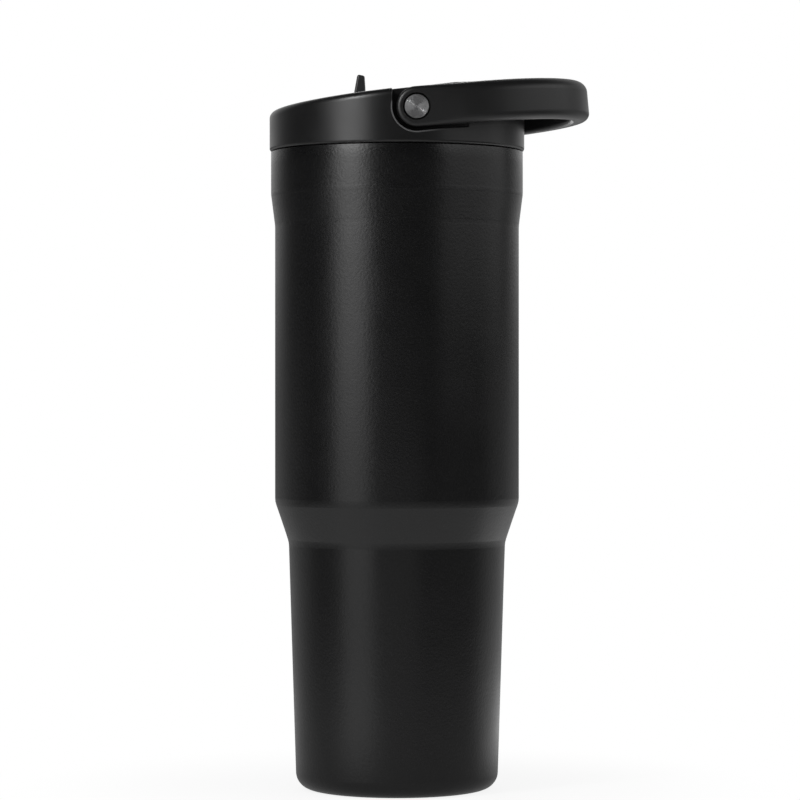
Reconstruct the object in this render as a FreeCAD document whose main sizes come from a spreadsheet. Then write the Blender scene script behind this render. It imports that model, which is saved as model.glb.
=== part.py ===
import FreeCAD, Part
import os
import re
import Sketcher
from FreeCAD import Vector

# Insulated travel mug, in millimetres.  The mug stands on z = 0 with its axis along +Z.
# The carry handle points to +X and the drinking side is -X.

doc = FreeCAD.newDocument("InsulatedTravelMug")
sheet = doc.addObject("Spreadsheet::Sheet", "Sizes")

sizes = {
    # steel flask, outside: radii worked inwards from the body, heights stacked from the floor
    "body_radius": 43.85,
    "cone_step": 4.95,          # how much narrower the cup-holder part is at its top
    "grip_slope": 2.75,         # and how much more it has lost at the floor
    "rim_flare": 1.45,
    "grip_height": 88.5,
    "cone_height": 14.6,
    "body_height": 98.9,
    "flare_height": 11.5,
    "rim_band": 15.0,
    "base_corner": 6.0,
    "foot_land": 1.0,           # flat ring that the mug stands on
    "taper_round": 8.0,
    "flare_round": 12.0,
    # steel sheet and the vacuum between the two walls
    "sheet_steel": 0.8,
    "liner_steel": 0.6,
    "vacuum_gap": 2.6,
    "neck_gap": 1.0,
    "liner_floor": 9.5,
    "liner_corner": 8.0,
    "lip_height": 0.8,
    # pressed base
    "seat_margin": 1.7,
    "seat_depth": 2.4,
    "dimple_radius": 6.0,
    "dimple_depth": 1.2,
    "port_radius": 1.2,
    "seal_thickness": 0.9,
    "disc_gap": 0.15,
    "getter_radius": 6.0,
    "getter_height": 2.2,
    # lid moulding
    "lid_overhang": 0.5,
    "seam_gap": 0.4,
    "top_tilt": 6.4,
    "top_round": 2.6,
    "bottom_round": 1.0,
    "lid_wall": 2.6,
    "edge_round": 0.5,
    "cut_reach": 60.0,          # how far a cutting sketch reaches past what it cuts
    # handle pivots, and the side recesses that take its arms
    "pivot_x": 6.9,
    "pivot_drop": 6.78,
    "recess_gap": 1.35,
    "recess_rise": 7.4,         # slope of the recesses' lower edge, which closes up on the arms
    "recess_wall": 2.4,
    "pin_radius": 2.5,
    "cap_radius": 4.4,
    "cap_thickness": 1.15,
    "cap_sink": 0.1,
    "cap_gap": 0.36,
    "cap_lift": 0.3,
    "pivot_boss_radius": 5.5,
    "pivot_boss_length": 2.5,
    "bush_wall": 0.95,
    "bush_flange": 0.8,
    "pin_clearance": 0.06,
    "washer_radius": 6.2,
    "washer_thickness": 0.4,
    "washer_gap": 0.27,
    "screw_radius": 1.25,
    "screw_head_radius": 3.0,
    "screw_head_height": 1.6,
    "screw_grip": 6.0,
    # carry handle
    "handle_proud": 0.07,       # how far the arms stand out of the lid's side
    "arm_thickness": 7.0,
    "arm_half_height": 7.12,
    "arm_length": 16.2,         # pivot to the start of the bar's bend
    "handle_tilt": 5.25,
    "handle_round": 1.6,
    "bar_round": 4.0,           # upper outer edge of the bar
    "bar_under_round": 2.8,     # and its lower outer edge
    # drinking spout
    "spout_rise": 11.1,         # the lid's lower edge to the spout's pivot
    "spout_drop": 8.08,         # the lid's top to the spout's pivot, on the mug's axis
    "barrel_radius": 6.5,
    "barrel_half_width": 6.6,
    "trunnion_radius": 2.5,
    "trunnion_length": 2.6,
    "running_gap": 0.4,
    "neck_half_height": 3.6,
    "neck_half_width": 4.8,
    "neck_round": 2.8,
    "neck_overlap": 7.0,        # how far the mouthpiece is pushed over the neck
    "bore_radius": 2.4,
    "mouth_wall": 0.7,
    "mouth_round": 3.2,
    "tab_distance": 17.1,       # spout's pivot to the front of the tab's root
    "tab_space": 1.9,           # tab to the mouthpiece
    "tab_height": 17.9,
    "tab_drop": 0.8,
    "tab_root": 6.5,
    "tab_front_lean": 16.7,
    "tab_rear_lean": 3.0,
    "tab_half_width": 4.6,
    "tab_round": 0.8,
    # channel in the lid's top
    "channel_gap": 0.5,
    "channel_end_gap": 1.2,
    "channel_end_clear": 0.8,   # the channel's end wall to the plug's flange
    "channel_wall": 1.8,
    "channel_round": 3.5,
    "channel_edge": 0.7,
    "vent_hole_radius": 1.0,
    # threaded plug under the lid, and what it carries
    "thread_space": 1.7,        # the plug's wall to the liner's neck
    "plug_reach": 4.5,          # how far the plug goes below the neck
    "plug_wall": 2.4,
    "plug_floor": 2.2,
    "flange_height": 1.5,
    "flange_gap": 0.1,
    "groove_depth": 1.3,
    "groove_height": 3.3,
    "groove_drop": 1.0,
    "gasket_gap": 0.3,
    "boss_radius": 7.6,
    "boss_bore": 6.1,
    "valve_offset": 22.0,
    "valve_radius": 4.5,
    "valve_stem": 1.4,
    "valve_height": 1.0,
    "air_hole_radius": 0.7,
    # straw and its seals
    "straw_radius": 4.0,
    "straw_bore": 2.8,
    "straw_lift": 1.9,          # the liner's floor to the straw's tip
    "straw_bevel": 7.0,
    "straw_depth": 13.0,        # how far it pushes up into its collar
    "collar_skirt": 6.0,
    "collar_flange": 9.0,
    "collar_flange_height": 1.6,
    "saddle_half": 6.0,
    "saddle_foot": 7.8,
    "saddle_gap": 0.3,
    "saddle_drop": 0.7,         # the saddle's top to the neck above it
}
for row, (alias, size) in enumerate(sizes.items(), start=1):
    sheet.set("A%d" % row, alias)
    sheet.set("B%d" % row, str(size))
    sheet.setAlias("B%d" % row, alias)
doc.recompute()

# Sizes that follow from the driving ones.
derived = {
    "grip_radius": "body_radius - cone_step",
    "base_radius": "grip_radius - grip_slope",
    "rim_radius": "body_radius + rim_flare",
    "body_low": "grip_height + cone_height",
    "body_high": "body_low + body_height",
    "rim_low": "body_high + flare_height",
    "rim_height": "rim_low + rim_band",
    "wall_space": "sheet_steel + vacuum_gap",
    "neck_radius": "rim_radius - sheet_steel - neck_gap",
    "foot_radius": "base_radius - base_corner - foot_land",
    "seat_radius": "foot_radius - seat_margin",
    "dimple_ceiling": "seat_depth + dimple_depth",
    "lid_radius": "rim_radius + lid_overhang",
    "lid_bottom": "rim_height + seam_gap",
    "spout_z": "lid_bottom + spout_rise",
    "lid_top": "spout_z + spout_drop",
    "lid_bore": "lid_radius - lid_wall",
    "slot_top": "lid_top + cut_reach",
    "handle_outer": "lid_radius + handle_proud",
    "arm_inner": "handle_outer - arm_thickness",
    "pivot_z": "lid_top - pivot_drop",
    "cap_top": "handle_outer - cap_sink",
    "hub_floor": "cap_top - cap_thickness - cap_lift - bush_flange",
    "recess_plane": "arm_inner - washer_gap - washer_thickness",
    "recess_radius": "arm_half_height + recess_gap",
    "boss_end": "recess_plane - recess_wall - pivot_boss_length",
    "plug_radius": "neck_radius - liner_steel - thread_space",
    "plug_floor_z": "rim_low - plug_reach",
    "floor_top": "plug_floor_z + plug_floor",
    "groove_high": "lid_bottom - groove_drop",
    "groove_low": "groove_high - groove_height",
    "seat": "barrel_radius + running_gap",
    "boss_top": "spout_z - seat - channel_wall - flange_height",
    "saddle_top": "spout_z - neck_half_height - saddle_half * tan(top_tilt) - saddle_drop",
    "channel_half_width": "barrel_half_width + running_gap",
    "channel_floor": "mouth_half_height + channel_gap",
    "channel_end": "plug_radius - plug_wall - channel_wall - channel_end_clear",
    "mouth_half_height": "neck_half_height + mouth_wall",
    "mouth_half_width": "neck_half_width + mouth_wall",
    "mouth_start": "tab_distance + tab_space",
    "mouth_end": "channel_end - channel_end_gap",
    "neck_length": "mouth_start + neck_overlap",
    "straw_foot": "liner_floor + liner_steel + straw_lift",
    "straw_top": "plug_floor_z + straw_depth",
}


def formula(text):
    """Write a formula out in the sheet's own sizes, for the expression engine."""
    def written_out(match):
        word = match.group()
        if word in derived:
            return "(%s)" % formula(derived[word])
        return "Sizes." * (word in sizes) + word
    return re.sub(r"[a-z_]+", written_out, text)


def value(text):
    return float(sheet.evalExpression(formula(text)))


def bind(thing, **formulas):
    for path, text in formulas.items():
        thing.setExpression(path, formula(text))


def new_body(name):
    body = doc.addObject("PartDesign::Body", name)
    body.Label = name
    return body


def place(body, x="0", y="0", z="0", axis=None, angle="0"):
    """Stand a body at (x, y, z), turned by angle degrees about axis."""
    turn = FreeCAD.Rotation(axis or Vector(0, 0, 1), value(angle))
    body.Placement = FreeCAD.Placement(Vector(value(x), value(y), value(z)), turn)
    for path, text in ((".Placement.Base.x", x), (".Placement.Base.y", y), (".Placement.Base.z", z)):
        body.setExpression(path, formula(text))
    if axis:
        body.setExpression(".Placement.Rotation.Angle", formula(angle))


def new_sketch(body, name, plane, height="0"):
    """An empty sketch on one of the body's own planes, moved along its normal."""
    sketch = body.newObject("Sketcher::SketchObject", body.Label + "_" + name)
    support = [face for face in body.Origin.OriginFeatures if face.Role == plane]
    sketch.AttachmentSupport = [(support[0], "")]
    sketch.MapMode = "FlatFace"
    sketch.setExpression(".AttachmentOffset.Base.z", formula(height))
    return sketch


def pin_point(sketch, line, end, x, y):
    """Hold one end of a sketch line by two dimensions from the origin."""
    for kind, text in (("DistanceX", x), ("DistanceY", y)):
        dimension = sketch.addConstraint(Sketcher.Constraint(kind, line, end, value(text)))
        sketch.setExpression("Constraints[%d]" % dimension, formula(text))


def draw(sketch, corners):
    """A closed outline.  A corner is (x, y); with a radius after it, the edge that leaves
    it is an arc of under half a turn, with its centre on the left of the way it runs."""
    spots = [Vector(value(corner[0]), value(corner[1]), 0) for corner in corners]
    ends = []
    for start, corner, finish in zip(spots, corners, spots[1:] + spots[:1]):
        if len(corner) == 2:
            edge = sketch.addGeometry(Part.LineSegment(start, finish))
            ends.append((edge, 1, 2))
            continue
        radius = value(corner[2])
        chord = finish - start
        left = Vector(-chord.y, chord.x, 0).normalize()
        centre = (start + finish) / 2 + left * max(radius ** 2 - chord.Length ** 2 / 4, 0) ** 0.5
        middle = centre - left * radius
        edge = sketch.addGeometry(Part.Arc(start, middle, finish))
        ends.append((edge, 1, 2))
        bend = sketch.addConstraint(Sketcher.Constraint("Radius", edge, radius))
        sketch.setExpression("Constraints[%d]" % bend, formula(corner[2]))
    for this, following, corner in zip(ends, ends[1:] + ends[:1], corners[1:] + corners[:1]):
        sketch.addConstraint(Sketcher.Constraint("Coincident", this[0], this[2], following[0], following[1]))
        pin_point(sketch, following[0], following[1], corner[0], corner[1])
    return sketch


def draw_circle(sketch, x, y, radius):
    ring = sketch.addGeometry(Part.Circle(Vector(value(x), value(y), 0), Vector(0, 0, 1), value(radius)))
    pin_point(sketch, ring, 3, x, y)
    size = sketch.addConstraint(Sketcher.Constraint("Radius", ring, value(radius)))
    sketch.setExpression("Constraints[%d]" % size, formula(radius))
    return sketch


def rectangle(x_low, y_low, x_high, y_high):
    return [(x_low, y_low), (x_high, y_low), (x_high, y_high), (x_low, y_high)]


def feature(body, kind, name, sketch):
    made = body.newObject("PartDesign::" + kind, body.Label + "_" + name)
    made.Profile = sketch
    return made


def volume(body):
    doc.recompute()
    return body.Shape.Volume


def extrude(body, kind, name, sketch, length, both_ways=False, backwards=False):
    """Pad or Pocket; a pocket has to take something away."""
    before = volume(body) if kind == "Pocket" else 0
    made = feature(body, kind, name, sketch)
    made.SideType = "Symmetric" if both_ways else "One side"
    made.Reversed = backwards
    bind(made, Length=length)
    after = volume(body)
    if kind == "Pocket" and not after < before:
        raise ValueError(made.Label + " cuts nothing")
    return made


def revolve(body, name, sketch, angle=360, backwards=False):
    made = feature(body, "Revolution", name, sketch)
    made.ReferenceAxis = (sketch, ["V_Axis"])
    made.Angle = angle
    made.Reversed = backwards
    doc.recompute()
    return made


def mirror(body, name, features, plane):
    made = body.newObject("PartDesign::Mirrored", body.Label + "_" + name)
    made.Originals = features
    support = [face for face in body.Origin.OriginFeatures if face.Role == plane]
    made.MirrorPlane = (support[0], [""])
    body.Tip = made
    doc.recompute()
    return made


def round_edges(body, name, radius, chosen):
    """Fillet every edge of the body that the test chosen(edge) picks."""
    doc.recompute()
    base = body.Tip
    edges = ["Edge%d" % number for number, edge in enumerate(base.Shape.Edges, start=1) if chosen(edge)]
    made = body.newObject("PartDesign::Fillet", body.Label + "_" + name)
    made.Base = (base, edges)
    bind(made, Radius=radius)
    doc.recompute()
    return made


def is_ring(edge, radius, height):
    """Is the edge a full circle of this radius at this height round Z?"""
    if not isinstance(edge.Curve, Part.Circle):
        return False
    return abs(edge.Curve.Radius - value(radius)) < 0.01 and abs(edge.Curve.Center.z - value(height)) < 0.01


def middle_of(edge):
    return edge.valueAt((edge.FirstParameter + edge.LastParameter) / 2)


def turned(name, corners):
    """A body turned about its own Z axis from an outline of (radius, height) corners."""
    body = new_body(name)
    revolve(body, "turning", draw(new_sketch(body, "profile", "XZ_Plane"), corners))
    return body


# ---- steel flask ----

def wall_corners(inset, neck_inset):
    """Corners of the flask's side, drawn in by an inset in the body and another at the neck."""
    return [("grip_radius - " + inset, "grip_height"), ("body_radius - " + inset, "body_low"),
            ("body_radius - " + inset, "body_high"), ("rim_radius - " + neck_inset, "rim_low")]


def round_wall(body, name, inset, neck_inset):
    rounds = ("taper_round", "taper_round", "flare_round", "flare_round")
    for number, (corner, size) in enumerate(zip(wall_corners(inset, neck_inset), rounds), start=1):
        round_edges(body, "%s_%d" % (name, number), size, lambda edge: is_ring(edge, *corner))


def bend(radius, floor, size):
    """The two ends of a quarter bend from a flat floor up into a wall of this radius."""
    return [("%s - %s" % (radius, size), floor, size), (radius, "%s + %s" % (floor, size))]


def hollow_out(body, corners):
    """Turn away the inside of a body, as far as an outline of (radius, height) corners."""
    before = volume(body)
    made = feature(body, "Groove", "hollow", draw(new_sketch(body, "hollow_profile", "XZ_Plane"), corners))
    made.ReferenceAxis = (made.Profile[0], ["V_Axis"])
    if not volume(body) < before:
        raise ValueError(made.Label + " cuts nothing")


def make_outer_shell():
    body = turned("outer_shell", [("0", "0"), ("base_radius", "0")] + wall_corners("0", "0")
                  + [("rim_radius", "rim_height"), ("0", "rim_height")])
    round_edges(body, "base_corner", "base_corner", lambda edge: is_ring(edge, "base_radius", "0"))
    round_wall(body, "outside", "0", "0")
    t = "sheet_steel"
    hollow_out(body, [("0", "-1"), ("foot_radius", "-1"), ("foot_radius", t)]
               + bend("base_radius - " + t, t, "(base_corner - sheet_steel)")
               + wall_corners(t, t) + [("rim_radius - " + t, "rim_height + 1"), ("0", "rim_height + 1")])
    round_wall(body, "inside", t, t)
    return body


def make_inner_liner():
    slope = "(grip_radius - base_radius) / grip_height"
    foot = "base_radius + %s * liner_floor - wall_space" % slope
    neck = "(sheet_steel + neck_gap)"
    lip = "rim_radius - sheet_steel"
    body = turned("inner_liner", [("0", "liner_floor"), (foot, "liner_floor")]
                  + wall_corners("wall_space", neck)
                  + [("neck_radius", "rim_height - lip_height"), (lip, "rim_height - lip_height"),
                     (lip, "rim_height"), ("0", "rim_height")])
    round_edges(body, "floor_corner", "liner_corner", lambda edge: is_ring(edge, foot, "liner_floor"))
    round_wall(body, "outside", "wall_space", neck)
    floor = "liner_floor + liner_steel"
    inside = foot + " - liner_steel"
    wall = "(wall_space + liner_steel)"
    throat = "(%s + liner_steel)" % neck
    hollow_out(body, [("0", floor)] + bend(inside, floor, "(liner_corner - liner_steel)")
               + wall_corners(wall, throat)
               + [("neck_radius - liner_steel", "rim_height + 1"), ("0", "rim_height + 1")])
    round_wall(body, "inside", wall, throat)
    return body


def make_base_cap():
    return turned("base_cap", [
        ("foot_radius", "0"), ("foot_radius", "sheet_steel"), ("seat_radius + sheet_steel", "sheet_steel"),
        ("seat_radius + sheet_steel", "seat_depth + sheet_steel"),
        ("dimple_radius + sheet_steel", "seat_depth + sheet_steel"),
        ("dimple_radius + sheet_steel", "dimple_ceiling + sheet_steel"),
        ("port_radius", "dimple_ceiling + sheet_steel"),
        ("port_radius", "dimple_ceiling"), ("dimple_radius", "dimple_ceiling"),
        ("dimple_radius", "seat_depth"), ("seat_radius", "seat_depth"), ("seat_radius", "0")])


def make_base_disc():
    edge = "seat_radius - disc_gap"
    body = turned("base_disc", [
        ("0", "0"), (edge, "0"), (edge, "seat_depth"), (edge + " - sheet_steel", "seat_depth"),
        (edge + " - sheet_steel", "sheet_steel"), ("0", "sheet_steel")])
    round_edges(body, "corner", "sheet_steel / 2", lambda ring: is_ring(ring, edge, "0"))
    return body


def make_vacuum_seal():
    return turned("vacuum_seal", [
        ("0", "dimple_ceiling - seal_thickness"), ("dimple_radius / 2", "dimple_ceiling - seal_thickness"),
        ("dimple_radius * 2 / 3", "dimple_ceiling"), ("port_radius", "dimple_ceiling"),
        ("port_radius", "dimple_ceiling + sheet_steel"), ("0", "dimple_ceiling + sheet_steel")])


def make_getter():
    body = turned("getter", rectangle("0", "liner_floor - getter_height", "getter_radius", "liner_floor"))
    round_edges(body, "edge", "getter_height / 4",
                lambda ring: is_ring(ring, "getter_radius", "liner_floor - getter_height"))
    return body


# ---- lid moulding ----

def sloping(depth, side):
    """Height of a plane at this depth under the lid's sloping top, at one end of the cut."""
    return "lid_top - (%s) / cos(top_tilt) %s cut_reach * tan(top_tilt)" % (depth, side)


def cut_slope(body, name, depth):
    """Take away everything above a plane parallel to the lid's top."""
    outline = [("-cut_reach", sloping(depth, "-")), ("cut_reach", sloping(depth, "+")),
               ("cut_reach", "slot_top"), ("-cut_reach", "slot_top")]
    sketch = draw(new_sketch(body, name + "_line", "XZ_Plane"), outline)
    return extrude(body, "Pocket", name, sketch, "4 * cut_reach", both_ways=True)


def cut_recesses(body, name, margin, from_plane):
    """The two side recesses for the handle's arms, grown by margin and cut outwards."""
    radius = "(recess_radius + %s)" % margin
    foot = "pivot_z + (cut_reach - pivot_x) * tan(recess_rise) - %s / cos(recess_rise)" % radius
    outline = [("pivot_x - " + radius, "slot_top"),
               ("pivot_x - " + radius, "pivot_z", radius),
               ("pivot_x + %s * sin(recess_rise)" % radius, "pivot_z - %s * cos(recess_rise)" % radius),
               ("cut_reach", foot), ("cut_reach", "slot_top")]
    sketch = draw(new_sketch(body, name + "_outline", "XZ_Plane", from_plane), outline)
    near = extrude(body, "Pocket", name, sketch, "cut_reach", backwards=True)
    mirror(body, name + "_far", [near], "XZ_Plane")


def cut_round(body, name, x, z, radius, from_plane):
    """A round cut along Y from a plane outwards, on both sides."""
    sketch = draw_circle(new_sketch(body, name + "_circle", "XZ_Plane", from_plane), x, z, radius)
    near = extrude(body, "Pocket", name, sketch, "cut_reach", backwards=True)
    mirror(body, name + "_far", [near], "XZ_Plane")


def tilted(along, up):
    """A point in the lid's tilted frame at the spout's pivot: forwards along the lid, and up."""
    return ("-(%s) * cos(top_tilt) - (%s) * sin(top_tilt)" % (along, up),
            "spout_z - (%s) * sin(top_tilt) + (%s) * cos(top_tilt)" % (along, up))


def cut_channel(body, name, margin):
    """The channel that the spout lies in, with the round seat of its barrel."""
    floor = "(channel_floor + %s)" % margin
    radius = "(seat + %s)" % margin
    end = "channel_end + " + margin
    outline = [tilted(end, "cut_reach"), tilted(end, "-" + floor),
               tilted("sqrt(%s ^ 2 - %s ^ 2)" % (radius, floor), "-" + floor) + (radius,),
               tilted("-" + radius, "0"), tilted("-" + radius, "cut_reach")]
    sketch = draw(new_sketch(body, name + "_outline", "XZ_Plane"), outline)
    return extrude(body, "Pocket", name, sketch, "2 * (channel_half_width + %s)" % margin, both_ways=True)


def on_lid_top(edge):
    spot = middle_of(edge)
    return abs(spot.z - value("lid_top") - spot.x * value("tan(top_tilt)")) < 0.01


def on_lid_side(edge):
    spot = middle_of(edge)
    return abs(spot.x ** 2 + spot.y ** 2 - value("lid_radius") ** 2) < 0.5


def is_recess_edge(edge):
    """Does the edge lie where a recess comes out of the lid's round side?"""
    return on_lid_side(edge) and abs(middle_of(edge).y) > value("recess_plane") + 0.1 and not is_ring(
        edge, "lid_radius", "lid_bottom + bottom_round")


def make_lid_blank():
    body = new_body("lid_blank")
    disc = draw_circle(new_sketch(body, "disc", "XY_Plane", "lid_bottom"), "0", "0", "lid_radius")
    extrude(body, "Pad", "block", disc, "cut_reach")
    cut_slope(body, "top", "0")
    round_edges(body, "bottom_round", "bottom_round", lambda edge: is_ring(edge, "lid_radius", "lid_bottom"))
    cut_recesses(body, "recess", "0", "recess_plane")
    round_edges(body, "top_round", "top_round", lambda edge: on_lid_top(edge) and on_lid_side(edge))
    round_edges(body, "recess_edge", "edge_round", is_recess_edge)
    cut_channel(body, "channel", "0")
    front = value("-channel_end * cos(top_tilt)")
    round_edges(body, "channel_front", "channel_round",
                lambda edge: abs(abs(middle_of(edge).y) - value("channel_half_width")) < 0.01
                and middle_of(edge).x < front + 1)
    round_edges(body, "channel_edge", "channel_edge",
                lambda edge: on_lid_top(edge) and abs(middle_of(edge).y) < value("channel_half_width") + 0.01)
    # the seat of the plug's flange, which the walls of the recesses stop short of
    hollow_out(body, rectangle("plug_radius - plug_wall - flange_gap", "lid_bottom - 1", "lid_bore",
                               "lid_bottom + flange_height + flange_gap"))
    cut_round(body, "pin_hole", "pivot_x", "pivot_z", "pin_radius", "boss_end - 1")
    trunnion = draw_circle(new_sketch(body, "trunnion_circle", "XZ_Plane"), "0", "spout_z",
                           "trunnion_radius + pin_clearance")
    extrude(body, "Pocket", "trunnion_hole", trunnion,
            "2 * (barrel_half_width + trunnion_length + running_gap)", both_ways=True)
    hole = "saddle_half + pin_clearance"
    window = draw(new_sketch(body, "saddle_window", "XY_Plane", "lid_bottom"),
                  rectangle("-(%s)" % hole, "-(%s)" % hole, hole, hole))
    extrude(body, "Pocket", "saddle_hole", window, "spout_z - lid_bottom", backwards=True)
    vent = draw_circle(new_sketch(body, "vent_circle", "XY_Plane", "lid_bottom"), "-valve_offset", "0",
                       "vent_hole_radius")
    extrude(body, "Pocket", "vent", vent, "spout_z - lid_bottom", backwards=True)
    return body


def make_lid_cavity():
    """The hollow under the lid's top, which leaves walls round the recesses and the channel."""
    body = turned("lid_cavity", rectangle("-lid_bore", "lid_bottom - 1", "0", "slot_top"))
    cut_slope(body, "ceiling", "lid_wall")
    cut_recesses(body, "recess_wall", "recess_wall", "recess_plane - recess_wall")
    cut_round(body, "pivot_boss", "pivot_x", "pivot_z", "pivot_boss_radius", "boss_end")
    cut_channel(body, "channel_wall", "channel_wall")
    return body


def make_lid_cover():
    cover = doc.addObject("Part::Cut", "lid_cover")
    cover.Label = "lid_cover"
    cover.Base = make_lid_blank()
    cover.Tool = make_lid_cavity()
    return cover


# ---- plug, seals and straw under the lid ----

def make_lid_plug():
    body = turned("lid_plug", [
        ("boss_bore", "plug_floor_z"), ("plug_radius", "plug_floor_z"), ("plug_radius", "groove_low"),
        ("plug_radius - groove_depth", "groove_low"), ("plug_radius - groove_depth", "groove_high"),
        ("plug_radius", "groove_high"), ("plug_radius", "lid_bottom"),
        ("lid_bore - flange_gap", "lid_bottom"), ("lid_bore - flange_gap", "lid_bottom + flange_height"),
        ("plug_radius - plug_wall", "lid_bottom + flange_height"),
        ("plug_radius - plug_wall", "floor_top"), ("boss_radius", "floor_top"),
        ("boss_radius", "boss_top"), ("boss_bore", "boss_top")])
    stem = draw_circle(new_sketch(body, "valve_circle", "XY_Plane", "plug_floor_z"), "-valve_offset", "0",
                       "valve_stem + pin_clearance")
    extrude(body, "Pocket", "valve_hole", stem, "plug_floor", backwards=True)
    ways = new_sketch(body, "air_circles", "XY_Plane", "plug_floor_z")
    reach = "(valve_stem + valve_radius) / 2"
    for x, y in ((reach, "0"), ("-" + reach, "0"), ("0", reach), ("0", "-" + reach)):
        draw_circle(ways, "%s - valve_offset" % x, y, "air_hole_radius")
    extrude(body, "Pocket", "air_holes", ways, "plug_floor", backwards=True)
    return body


def make_lid_gasket():
    low = "(groove_low + gasket_gap)"
    high = "(groove_high - gasket_gap)"
    lip = "(neck_radius - liner_steel - gasket_gap)"
    body = turned("lid_gasket", rectangle("plug_radius - groove_depth + gasket_gap", low, lip, high))
    for name, height in (("low", low), ("high", high)):
        round_edges(body, "lip_" + name, "gasket_gap", lambda edge: is_ring(edge, lip, height))
    return body


def make_vent_valve():
    body = turned("vent_valve", [
        ("0", "plug_floor_z - valve_height"), ("valve_radius", "plug_floor_z - valve_height / 2"),
        ("valve_radius", "plug_floor_z"), ("valve_stem", "plug_floor_z"), ("valve_stem", "floor_top"),
        ("valve_stem * 2", "floor_top"), ("valve_stem", "floor_top + valve_stem * 2"),
        ("0", "floor_top + valve_stem * 2")])
    place(body, x="-valve_offset")
    return body


def make_straw_collar():
    return turned("straw_collar", [
        ("straw_radius", "plug_floor_z - collar_skirt"), ("boss_bore", "plug_floor_z - collar_skirt"),
        ("boss_bore", "plug_floor_z - collar_flange_height"),
        ("collar_flange", "plug_floor_z - collar_flange_height"), ("collar_flange", "plug_floor_z"),
        ("boss_bore", "plug_floor_z"), ("boss_bore", "boss_top"), ("straw_bore", "boss_top"),
        ("straw_bore", "straw_top"), ("straw_radius", "straw_top")])


def make_straw():
    body = turned("straw", rectangle("straw_bore", "straw_foot", "straw_radius", "straw_top"))
    bevel = [("-straw_radius - 1", "straw_foot - 1"), ("straw_radius + 1", "straw_foot - 1"),
             ("straw_radius + 1", "straw_foot + straw_bevel")]
    sketch = draw(new_sketch(body, "bevel_outline", "XZ_Plane"), bevel)
    extrude(body, "Pocket", "bevel", sketch, "4 * straw_radius", both_ways=True)
    return body


def make_spout_seal():
    body = new_body("spout_seal")
    rise = "saddle_top - boss_top"
    for name, half, height in (("foot", "saddle_foot", "flange_height"), ("block", "saddle_half", rise)):
        square = new_sketch(body, name + "_outline", "XY_Plane", "boss_top")
        extrude(body, "Pad", name, draw(square, rectangle("-" + half, "-" + half, half, half)), height)
    barrel = draw_circle(new_sketch(body, "seat_circle", "XZ_Plane"), "0", "spout_z",
                         "barrel_radius + saddle_gap")
    extrude(body, "Pocket", "seat", barrel, "4 * saddle_foot", both_ways=True)
    bore = draw_circle(new_sketch(body, "bore_circle", "XY_Plane", "boss_top"), "0", "0", "straw_bore")
    extrude(body, "Pocket", "bore", bore, rise, backwards=True)
    return body


# ---- spout, built along its own axis with its pivot at the origin, then laid in the channel ----

def lay_spout(body):
    place(body, z="spout_z", axis=Vector(0, -1, 0), angle="top_tilt")


def along_neck(edge):
    """Is the edge straight and parallel to the neck?"""
    straight = isinstance(edge.Curve, Part.Line)
    return straight and abs(edge.tangentAt(edge.FirstParameter).x) > 0.999 and edge.Length > 5


def bore_along(body, name, start, length, radius):
    """A round passage along the neck from a plane backwards."""
    circle = draw_circle(new_sketch(body, name + "_circle", "YZ_Plane", start), "0", "0", radius)
    return extrude(body, "Pocket", name, circle, length, backwards=True)


def make_spout_rocker():
    body = new_body("spout_rocker")
    neck = rectangle("-neck_length", "-neck_half_height", "0", "neck_half_height")
    extrude(body, "Pad", "neck", draw(new_sketch(body, "neck_outline", "XZ_Plane"), neck),
            "2 * neck_half_width", both_ways=True)
    round_edges(body, "neck_round", "neck_round", along_neck)
    rise = "(tab_height - neck_half_height / 2)"
    tab = [("-tab_distance", "neck_half_height / 2"), ("-tab_distance + tab_root", "neck_half_height / 2"),
           ("-tab_distance + tab_root + %s * tan(tab_rear_lean)" % rise, "tab_height - tab_drop"),
           ("-tab_distance + %s * tan(tab_front_lean)" % rise, "tab_height")]
    extrude(body, "Pad", "tab", draw(new_sketch(body, "tab_outline", "XZ_Plane"), tab),
            "2 * tab_half_width", both_ways=True)
    round_edges(body, "tab_round", "tab_round", lambda edge: middle_of(edge).z > value("neck_half_height") + 2
                and (abs(middle_of(edge).y) > 1 or middle_of(edge).z > value("tab_height") - 2))
    barrel = draw_circle(new_sketch(body, "barrel_circle", "XZ_Plane"), "0", "0", "barrel_radius")
    extrude(body, "Pad", "barrel", barrel, "2 * barrel_half_width", both_ways=True)
    trunnion = draw_circle(new_sketch(body, "trunnion_circle", "XZ_Plane"), "0", "0", "trunnion_radius")
    extrude(body, "Pad", "trunnions", trunnion, "2 * (barrel_half_width + trunnion_length)", both_ways=True)
    bore_along(body, "bore", "-neck_length", "neck_length + 2 * barrel_radius", "bore_radius")
    lay_spout(body)
    return body


def make_spout_mouthpiece(rocker):
    blank = new_body("mouthpiece_blank")
    outline = rectangle("-mouth_end", "-mouth_half_height", "-mouth_start", "mouth_half_height")
    extrude(blank, "Pad", "sleeve", draw(new_sketch(blank, "sleeve_outline", "XZ_Plane"), outline),
            "2 * mouth_half_width", both_ways=True)
    round_edges(blank, "sleeve_round", "mouth_round", along_neck)
    tip = value("-mouth_end")
    round_edges(blank, "lip_round", "tab_round", lambda edge: abs(edge.CenterOfMass.x - tip) < 0.01)
    bore_along(blank, "bore", "-mouth_end", "mouth_end", "bore_radius")
    lay_spout(blank)
    sleeve = doc.addObject("Part::Cut", "spout_mouthpiece")
    sleeve.Label = "spout_mouthpiece"
    sleeve.Base = blank
    sleeve.Tool = rocker
    return sleeve


# ---- carry handle, built flat with its pivot at the origin, then tilted to lie in the recesses ----

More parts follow.
